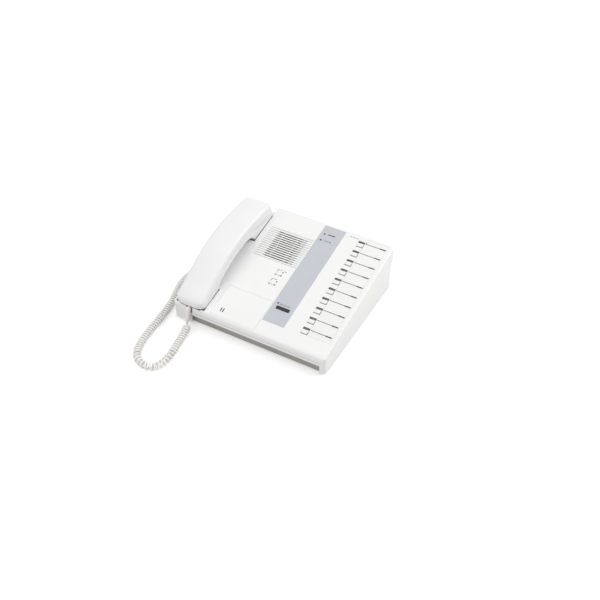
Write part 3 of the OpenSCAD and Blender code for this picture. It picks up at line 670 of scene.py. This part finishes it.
@dataclass
class CurlyCord:
    """The coiled handset cord, from the case's left side to the handset's strain relief."""

    wire: float = 3.0
    curl_width: float = 11.8
    curls: int = 70
    lead_in: float = 13.0
    lead_out: float = 7.0
    ramp_in: float = 7.0
    ramp_out: float = 7.0
    bend_from: float = 205.0
    bend_to: float = 285.0
    bend_curls: int = 13
    steps_per_curl: int = 16
    sides: int = 10
    outlet: Point = (-127.0, -10.5, 14.0)
    relief_bend: Point = (-95.5, -110.5, 28.0)
    relief_drop: float = 74.0
    relief_len: float = 19.5
    rest_gap: float = 0.3
    corner: Point = (-123.0, -108.5, 0.0)
    way: list[Point] = field(
        default_factory=lambda: [
            (-19, 93.5, 11), (-27, 75, 6.8), (-27, 56, 6), (-20.5, 31, 6), (-14.6, 6, 6), (-12, -20, 6),
            (-10.4, -45, 6), (-7.6, -66, 6), (-3, -84, 6), (7, -98.5, 6), (23.8, -104.6, 6), (37, -99.2, 6),
            (43.2, -85, 6), (42.4, -66, 6), (39, -46, 6), (36, -30, 6), (32.6, -17.5, 6.3), (29, -10.5, 5),
        ]
    )

    def relief_dir(self) -> np.ndarray:
        """The direction of the strain relief, down and forward."""
        drop = math.radians(self.relief_drop)
        return np.array([0.0, -math.cos(drop), -math.sin(drop)])

    def line(self) -> np.ndarray:
        """Draws the middle of the coil.

        Returns:
            Close points along it, in millimetres.
        """
        down = self.relief_dir()
        end = np.array(self.relief_bend) + (self.relief_len + self.rest_gap) * down
        start = np.array(self.outlet)
        route = [start, start - [self.wire, 0, 0]]
        route += [np.array(self.corner) + p for p in self.way]
        route += [end + self.wire * down, end]
        count = len(route)
        points = []
        for i in range(count - 1):
            near = [route[max(0, min(count - 1, i + k))] for k in (-1, 0, 1, 2)]
            points += [spline_point(*near, k / 8) for k in range(8)]
        return np.array([*points, end])

    def wire_path(self) -> np.ndarray:
        """The wire's own centre line through every curl.

        Returns:
            The points in millimetres, from the outlet to the strain relief.
        """
        line = self.line()
        steps = np.linalg.norm(np.diff(line, axis=0), axis=1)
        lengths = np.concatenate([[0.0], np.cumsum(steps)])
        run = lengths[-1]
        radius = (self.curl_width - self.wire) / 2

        def on_line(s: float) -> np.ndarray:
            """The coil's middle at a distance along it."""
            return np.array([np.interp(s, lengths, line[:, k]) for k in range(3)])

        def ease(t: float) -> float:
            """A smooth step from 0 to 1."""
            u = min(1.0, max(0.0, t))
            return u * u * (3 - 2 * u)

        plain = self.curls - self.bend_curls
        first_run = self.bend_from - self.lead_in
        last_run = run - self.lead_out - self.bend_to
        first = plain * first_run / (first_run + last_run)
        turns = [0, first, first + self.bend_curls, self.curls]
        places = [self.lead_in, self.bend_from, self.bend_to, run - self.lead_out]
        stations = [(0.0, 0.0), (self.wire, 0.0), (self.lead_in * 0.6, 0.0)]
        for k in range(self.curls * self.steps_per_curl + 1):
            turn = k / self.steps_per_curl
            stations.append((float(np.interp(turn, turns, places)), turn * 2 * math.pi))
        whole = self.curls * 2 * math.pi
        stations += [(run - self.lead_out * 0.5, whole), (run - self.wire * 0.5, whole), (run, whole)]
        path = []
        for s, angle in stations:
            ahead = on_line(min(run, s + 1.5)) - on_line(max(0.0, s - 1.5))
            ahead /= np.linalg.norm(ahead)
            side = np.cross([0, 0, 1], ahead)
            side /= np.linalg.norm(side)
            lift = np.cross(ahead, side)
            swell = radius * ease((s - self.lead_in) / self.ramp_in)
            swell *= ease((run - self.lead_out - s) / self.ramp_out)
            path.append(on_line(s) + swell * (math.cos(angle) * side + math.sin(angle) * lift))
        return np.array(path)

    def build(self) -> None:
        path = self.wire_path() * MM
        curve = bpy.data.curves.new("cord_line", "CURVE")
        curve.dimensions = "3D"
        curve.bevel_depth = self.wire / 2 * MM
        curve.bevel_resolution = self.sides // 4
        curve.use_fill_caps = True
        spline = curve.splines.new("POLY")
        spline.points.add(len(path) - 1)
        for point, at in zip(spline.points, path):
            point.co = (*at, 1)
        made = bpy.data.objects.new("coiled_cord", curve)
        bpy.context.scene.collection.objects.link(made)
        pick(made)
        bpy.ops.object.convert(target="MESH")
        made = bpy.context.object
        made.name = made.data.name = "coiled_cord"
        smooth(made, 60)
        CREAM_CORD.dress(made)
        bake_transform(made)
        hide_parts("curly_cord")
        self._relief()
        self._gland()

    def _relief(self) -> bpy.types.Object:
        """Makes the ribbed strain relief on the handset.

        Returns:
            The dressed relief.
        """
        made = softened("strain_relief", "cord_relief", 0.25)
        CREAM_CORD.dress(made)
        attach(made, Body.HANDSET.value)
        return made

    def _gland(self) -> bpy.types.Object:
        """Makes the grommet in the case's side.

        Returns:
            The dressed grommet.
        """
        made = softened("cord_gland", "cord_grommet", 0.3)
        RUBBER.dress(made)
        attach(made, Body.BASE.value)
        return made


# ---- handset ----


@dataclass
class Handset:
    """The two moulded halves of the handset, lofted across their width with rounded edges."""

    width: float = 45.0
    middle: float = -95.5
    start: float = 4.5
    reach: float = 4.2
    reach_height: float = 1.6
    back_gap: float = 12.5
    top: float = 37.0
    gap: float = 15.0
    ear_drop: float = 13.5
    mouth_drop: float = 9.0
    plan_radius: float = 10.0
    top_radius: float = 4.6
    under_radius: float = 2.2
    ear_run: float = 62.5
    mouth_run: float = 40.5
    crown: float = 0.7
    lip_upper_radii: tuple[float, ...] = (1.2, 2.4)
    lip_lower_radii: tuple[float, ...] = (1.0, 0.8, 0.6, 0.6)
    point_gap: float = 7.0
    arc_steps: int = 7
    soft_end: float = 3.0
    squeeze: float = 0.03

    @property
    def length(self) -> float:
        """Length of the handset up the slope."""
        return TOP_RUN - self.back_gap - self.start

    def outline(self) -> tuple[np.ndarray, np.ndarray]:
        """The side outline, smoothed, with each point's edge radius.

        Returns:
            The closed outline as distance along and height, and the radius at each point.
        """
        ear_at = self.length - self.ear_run
        share = [
            (0.13, 0.57), (0.205, 0.69), (0.295, 0.825), (0.39, 0.935), (0.49, 0.995), (0.59, 1),
            (0.685, 0.955), (0.775, 0.87), (0.865, 0.77), (0.93, 0.69), (0.975, 0.6), (0.995, 0.45),
            (1, 0.27),
        ]
        low, front = self.reach_height, -self.reach
        upper = [(front, low + 4.7), (front + 1, low + 9), (front + 4.7, low + 12.8), (8.5, 16.8)]
        upper += [(u * self.length, h * self.top) for u, h in share]
        ear, mouth, g, m = -self.ear_drop, -self.mouth_drop, self.gap, self.mouth_run
        lower = [
            (self.length, 3.5 + ear), (self.length - 3, ear), (ear_at + 6.5, ear),
            (ear_at + 2, 3.5 + ear),
            (ear_at + 0.8, 0), (ear_at - 2.5, g / 2 - 0.5), (ear_at - 10.5, g - 2.6), (ear_at - 23.5, g),
            (m + 51.5, g), (m + 27.5, g - 2.6), (m + 9.5, g / 2 - 0.5), (m + 0.6, 0), (m - 0.1, 3 + mouth),
            (m - 3, mouth), (4, mouth), (0.6, 3 + mouth), (0.6, low - 1), (-0.4, low), (front + 1, low),
            (front, low + 1),
        ]
        points = np.array(upper + lower, float)
        radii = np.array([self.top_radius] * len(upper) + [self.under_radius] * len(lower))
        radii[: len(self.lip_upper_radii)] = self.lip_upper_radii
        radii[-len(self.lip_lower_radii) :] = self.lip_lower_radii
        dense, sizes = [], []
        for i in range(len(points)):
            a, b = points[i], points[(i + 1) % len(points)]
            count = max(1, int(np.linalg.norm(b - a) // self.point_gap))
            for k in range(count):
                dense.append(a + (b - a) * k / count)
                sizes.append(radii[i] + (radii[(i + 1) % len(points)] - radii[i]) * k / count)
        shape, sizes = np.array(dense), np.array(sizes)
        for _ in range(2):
            after, size_after = np.roll(shape, -1, axis=0), np.roll(sizes, -1)
            near, far = shape * 0.75 + after * 0.25, shape * 0.25 + after * 0.75
            size_near, size_far = sizes * 0.75 + size_after * 0.25, sizes * 0.25 + size_after * 0.75
            shape = np.stack([near, far], 1).reshape(-1, 2)
            sizes = np.stack([size_near, size_far], 1).ravel()
        return shape, sizes

    def solid(self) -> bpy.types.Object:
        """Lofts the outline across the width.

        Returns:
            The closed handset in the slope frame, in millimetres.
        """
        shape, sizes = self.outline()
        forward = np.roll(shape, -1, axis=0) - np.roll(shape, 1, axis=0)
        inward = np.stack([forward[:, 1], -forward[:, 0]], 1)
        inward /= np.linalg.norm(inward, axis=1, keepdims=True)
        half = self.width / 2
        arc = [math.radians(90 * k / self.arc_steps) for k in range(self.arc_steps + 1)]
        layers: list[tuple[float, float]] = [(-1.0, angle) for angle in reversed(arc)]
        layers += [(k / 6, -1.0) for k in range(-5, 6)]
        layers += [(1.0, angle) for angle in arc]
        rings = []
        for side, angle in layers:
            if angle >= 0:
                across = side * (half - self.top_radius * (1 - math.sin(angle)))
                inset = sizes * (1 - math.cos(angle))
            else:
                across = side * (half - self.top_radius)
                inset = np.zeros(len(shape))
            bow = self.crown * (across / half) ** 2
            moved = shape + inward * (inset + bow * (sizes / self.top_radius))[:, None]
            over = max(0.0, abs(across) - (half - self.plan_radius))
            end = self.plan_radius - math.sqrt(max(0.0, self.plan_radius**2 - over**2))
            along = self._soft_limit(moved[:, 0], end)
            sideways = np.full(len(shape), self.middle + across)
            rings.append(np.stack([sideways, along + self.start, moved[:, 1]], 1))
        count = len(shape)
        vertices = np.concatenate(rings)
        faces = []
        for r in range(len(rings) - 1):
            for k in range(count):
                n = (k + 1) % count
                faces.append((r * count + k, r * count + n, (r + 1) * count + n, (r + 1) * count + k))
        faces.append(tuple(range(count - 1, -1, -1)))
        last = (len(rings) - 1) * count
        faces.append(tuple(last + k for k in range(count)))
        return closed("handset_solid", vertices.tolist(), faces)

    def _soft_limit(self, along: np.ndarray, end: float) -> np.ndarray:
        """Keeps points between the two rounded ends, easing into them.

        Args:
            along: Distances along the handset.
            end: How far the ends stand in at this place across.

        Returns:
            The limited distances.
        """
        soft = self.soft_end

        def smooth_max(a: np.ndarray, b: float) -> np.ndarray:
            """The larger of the two, rounded where they meet."""
            mix = np.maximum(soft - np.abs(a - b), 0.0) * (0.0 if end <= 0 else 1.0)
            return np.maximum(a, b) + mix**2 / (4 * soft)

        limit = end - self.reach
        low = smooth_max(along, limit) + self.squeeze * np.minimum(along - limit, 0.0)
        return self.length - smooth_max(self.length - low, end)

    def parting(self) -> list[tuple[float, float]]:
        """Draws the line where the two halves meet.

        Returns:
            Its points as distance along and height.
        """
        ear_at, part_top, m = self.length - self.ear_run, self.gap + 10.5, self.mouth_run
        return [
            (-9, 4), (16, 4), (34, 8), (52, 16), (m + 29.5, part_top - 3.5), (m + 51.5, part_top),
            (ear_at - 23.5, part_top), (ear_at - 3.5, part_top - 4.5), (ear_at + 14.5, 12),
            (ear_at + 30.5, 7), (self.length + 9, 7),
        ]

    def _over_parting(self, name: str) -> bpy.types.Object:
        """Makes a closed block of the space above the parting line.

        Args:
            name: The block's name.

        Returns:
            The block in the slope frame.
        """
        line = [*self.parting(), (self.length + 9, 80), (-9, 80)]
        count = len(line)
        vertices = [
            (self.middle + side * (self.width / 2 + 5), v + self.start, h)
            for side in (-1, 1)
            for v, h in line
        ]
        faces = [tuple(range(count)), tuple(range(2 * count - 1, count - 1, -1))]
        faces += [(k, k + count, (k + 1) % count + count, (k + 1) % count) for k in range(count)]
        return closed(name, vertices, faces)

    def _underside(self) -> bpy.types.Object:
        """Makes the cutters of the ear holes and the mouth slots.

        Returns:
            The cutters as one object in the slope frame.
        """
        ear_v = self.start + self.length - self.ear_run + 26
        mouth_v = self.start + self.mouth_run - 21
        spots = [(0.0, 0.0)] + [
            (r * math.cos(math.radians(a)), r * math.sin(math.radians(a)))
            for r, count in ((5.5, 6), (11.0, 12))
            for a in range(0, 360, 360 // count)
        ]
        parts = [
            rod("hole", self.middle + x, ear_v + y, -self.ear_drop - 2, -self.ear_drop + 1.6, 1.1)
            for x, y in spots
        ]
        parts += [
            block(
                "slot",
                (self.middle + x - 1, mouth_v - 4, -self.mouth_drop - 2),
                (self.middle + x + 1, mouth_v + 4, -self.mouth_drop + 1.6),
            )
            for x in (-6, 0, 6)
        ]
        return joined(parts, "underside_cuts")

    def build(self) -> None:
        """Makes both halves, which replace the handset's CAD shells."""
        whole = self.solid()
        for name, node, operation in (
            ("handset_top", "handset_upper", "INTERSECT"),
            ("handset_under", "handset_lower", "DIFFERENCE"),
        ):
            half = whole.copy()
            half.data = whole.data.copy()
            half.name = half.data.name = name
            bpy.context.scene.collection.objects.link(half)
            cut(half, self._over_parting("parting_cut"), operation)
            if node == "handset_lower":
                cut(half, self._underside())
            apply_modifier(
                half,
                "BEVEL",
                width=0.25,
                segments=2,
                limit_method="ANGLE",
                angle_limit=math.radians(40),
                use_clamp_overlap=True,
            )
            smooth(half, 35)
            settle(half, ON_SLOPE)
            WHITE_GRIP.dress(half)
            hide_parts(node)
            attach(half, Body.HANDSET.value)
        bpy.data.objects.remove(whole, do_unlink=True)


# ---- case ----


@dataclass
class Windows:
    """The smoked lamp windows of the station rows."""

    edge_round: float = 0.2

    def build(self) -> None:
        """Softens the windows and dresses them."""
        piece = softened("lamp_windows", "row_windows", self.edge_round)
        SMOKED.dress(piece)
        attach(piece, Body.BASE.value)


@dataclass
class Keys:
    """Every key cap, with softened edges, on its own body."""

    cap_round: float = 0.3
    rows: int = 10

    def build(self) -> None:
        """Makes the caps of the station, function and talk keys."""
        caps = [(f"station_key_{i + 1:02d}", WHITE_KEYS) for i in range(self.rows)]
        caps += [("function_key_a", WHITE_KEYS), ("function_key_b", WHITE_KEYS), ("talk_key", BLACK_KEY)]
        for node, finish in caps:
            piece = softened(node, f"{node}_cap", self.cap_round)
            finish.dress(piece)
            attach(piece, node)


@dataclass(frozen=True)
class Bar:
    """A thin bar on the sloped face, printed mark, painted shade or lining, in millimetres: across, up the
    slope and its thickness.
    """

    left: float
    right: float
    low: float
    high: float
    bottom: float = -0.02
    top: float = 0.06

    def made(self) -> bpy.types.Object:
        """Returns the bar as a block in the slope frame."""
        return block("bar", (self.left, self.low, self.bottom), (self.right, self.high, self.top))


def dash(left: float, right: float, middle: float, thickness: float) -> Bar:
    """Makes a dash across the slope, round a line at one height.

    Args:
        left: Its left end.
        right: Its right end.
        middle: Its middle up the slope.
        thickness: Its thickness.

    Returns:
        The dash as a bar.
    """
    return Bar(left, right, middle - thickness / 2, middle + thickness / 2)


@dataclass
class Marks:
    """Plain printed ticks and dashes, painted shade in the gaps round the keys, painted shade sheets in the
    handset cradle and under the mouth end, and the dark linings seen through openings.
    """

    key_x: float = 75.4
    first_row: float = 37.0
    last_row: float = 206.56
    rows: int = 10
    key_below: float = 5.6
    key_half: tuple[float, float] = (4.5, 3.0)
    function_x: float = -7.8
    function_v: tuple[float, float] = (106.5, 88.3)
    function_half: tuple[float, float] = (4.3, 3.2)
    # offset and sizes of the painted shade lines under the station keys
    key_shade_offset: float = 0.35
    key_shade_width: float = 0.6
    key_shade_height: float = 0.75
    # gap, width and arm of the painted shade brackets round the function keys
    bracket_gap: float = 0.3
    bracket_width: float = 0.8
    bracket_arm: float = 1.5
    # painted shade: a black bar riding on the handset, standing in for the shadow in the gap under the mouth
    # end
    lip_painted_shade: Bar = Bar(-110.5, -77.5, 1.2, 3.4, 0.3, 1.8)
    seam: tuple[Point, Point] = ((-88.0, -108.56, 20.7), (117.0, -108.4, 21.3))

    def painted_key_shadows(self) -> list[Bar]:
        """Draws a line of painted shade under each station key and a shorter one on its right, where the gap
        round the key is shaded.

        Returns:
            The bars of all rows.
        """
        half_w, half_l = self.key_half
        bars = []
        for row in range(self.rows):
            v = self.first_row + (self.last_row - self.first_row) * row / (self.rows - 1) - self.key_below
            low, right = v - half_l - self.key_shade_offset, self.key_x + half_w + self.key_shade_offset
            end = right + self.key_shade_width
            bars.append(Bar(self.key_x - half_w - 0.2, end, low - self.key_shade_height, low))
            bars.append(Bar(right, end, low, v + half_l * 0.4))
        return bars

    def painted_corner_shade(self) -> list[Bar]:
        """Draws four corner brackets of painted shade round each function key, where the gap round the key is
        shaded.

        Returns:
            The bars of both keys.
        """
        bars = []
        half_w, half_l = self.function_half
        wide, arm = self.bracket_width, self.bracket_arm
        for v in self.function_v:
            for side in (-1, 1):
                for end in (-1, 1):
                    x = self.function_x + side * (half_w + self.bracket_gap)
                    y = v + end * (half_l + self.bracket_gap)
                    for back_x, back_y, out_x in ((0.0, arm, wide), (arm, 0.0, 0.0)):
                        ends_x = sorted((x - side * back_x, x + side * out_x))
                        ends_y = sorted((y - end * back_y, y + end * wide))
                        bars.append(Bar(*ends_x, *ends_y))
        return bars

    def groups(self) -> list[tuple[str, Finish, list[Bar]]]:
        """Lists the printed pieces, the painted shade and the dark linings.

        Returns:
            The name, the finish and the bars of each.
        """
        return [
            ("strip_marks", INK_AND_PAINTED_SHADE, [dash(23.4, 27.6, 200.5, 1.8), dash(28.2, 34.2, 200.5, 1.8)]),
            (
                "strip_marks_pale",
                GREY_INK_AND_PAINTED_SHADE,
                [
                    *(dash(a, b, 187.9, 1.7) for a, b in ((23.0, 26.0), (27.0, 30.0), (30.8, 34.0))),
                    *(dash(a, b, 59.0, 1.3) for a, b in ((20.8, 25.6), (26.5, 31.0), (31.9, 36.6))),
                ],
            ),
            (
                "face_marks",
                GREY_INK_AND_PAINTED_SHADE,
                [
                    *(dash(a, b, 211.0, 0.8) for a, b in ((54.0, 58.0), (59.2, 63.5), (64.7, 69.0))),
                    *(dash(a, b, 112.7, 0.9) for a, b in ((-13.2, -9.6), (-8.8, -5.6))),
                    dash(-2.4, 1.6, 112.2, 0.9),
                    dash(-13.4, -9.8, 94.6, 0.9),
                    dash(-8.9, -4.6, 94.8, 0.9),
                ],
            ),
            # painted shade: dark lines under and right of each station key, standing in for the shaded gap
            ("painted_key_shadows", GREY_INK_AND_PAINTED_SHADE, self.painted_key_shadows()),
            # painted shade: dark corner brackets round the function keys, standing in for the shaded gap
            ("function_key_painted_shade", INK_AND_PAINTED_SHADE, self.painted_corner_shade()),
            ("first_row_tick", INK_AND_PAINTED_SHADE, [Bar(82.2, 83.0, 206.9, 209.4, -0.1, 0.1)]),
            (
                "microphone_gauze",
                FELT_AND_PAINTED_SHADE,
                [Bar(x - 0.72, x + 0.72, 12.8, 19.2, -1.3, -0.25) for x in (-51.0, -47.4)],
            ),
            (
                "grille_cloth",
                CLOTH,
                [
                    Bar(a, b, 127.0, 178.2, -3.1, -2.7)
                    for a, b in ((-46.2, -39.4), (-37.6, -15.4), (-13.6, -6.7))
                ],
            ),
            # painted shade: black bars in the handset cradle's gaps, standing in for the shadow there
            (
                "cradle_painted_shade",
                FELT_AND_PAINTED_SHADE,
                [
                    Bar(-119.1, -71.9, 3.35, 4.3, -9.2, -0.8),
                    Bar(-119.1, -71.9, 4.3, 14.0, -9.28, -9.1),
                    Bar(-72.75, -71.9, 4.3, 10.0, -9.2, -0.8),
                    Bar(-72.75, -71.9, 27.0, 44.5, -9.2, -0.5),
                    Bar(-88.0, -71.9, 145.0, 146.3, -10.0, -0.5),
                    Bar(-72.75, -71.9, 146.3, 200.0, -13.0, -0.5),
                ],
            ),
        ]

    def build(self) -> None:
        """Prints the marks on the face and lays the painted shade and the linings."""
        for name, finish, bars in self.groups():
            made = joined([bar.made() for bar in bars], name)
            settle(made, ON_SLOPE)
            finish.dress(made)
            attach(made, Body.BASE.value)
        # painted shade: the bar under the mouth end, riding on the handset
        lip_shade_bar = joined([self.lip_painted_shade.made()], "handset_painted_shade")
        settle(lip_shade_bar, ON_SLOPE)
        FELT_AND_PAINTED_SHADE.dress(lip_shade_bar)
        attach(lip_shade_bar, Body.HANDSET.value)
        seam = block("lip_seam", *self.seam)
        settle(seam, FLAT)
        PALE_INK.dress(seam)
        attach(seam, Body.BASE.value)


@dataclass
class Works:
    """The parts of the frame that keep their own shape and get a finish."""

    def build(self) -> None:
        """Dresses the CAD nodes that stay."""
        for node, finish in NODE_FINISHES.items():
            finish.dress(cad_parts[node])


def main() -> None:
    """Builds the studio and every sub-assembly."""
    logging.basicConfig(level=logging.INFO, format="%(name)s: %(message)s")
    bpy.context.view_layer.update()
    studio = Studio()
    studio.camera()
    for part in (CurlyCord(), Windows(), Keys(), Marks(), Handset(), Works()):
        part.build()
        LOG.info("%s built", type(part).__name__)
    studio.floor()
    studio.lights()
    bpy.context.scene.view_settings.view_transform = "Standard"


if __name__ == "__main__":
    main()
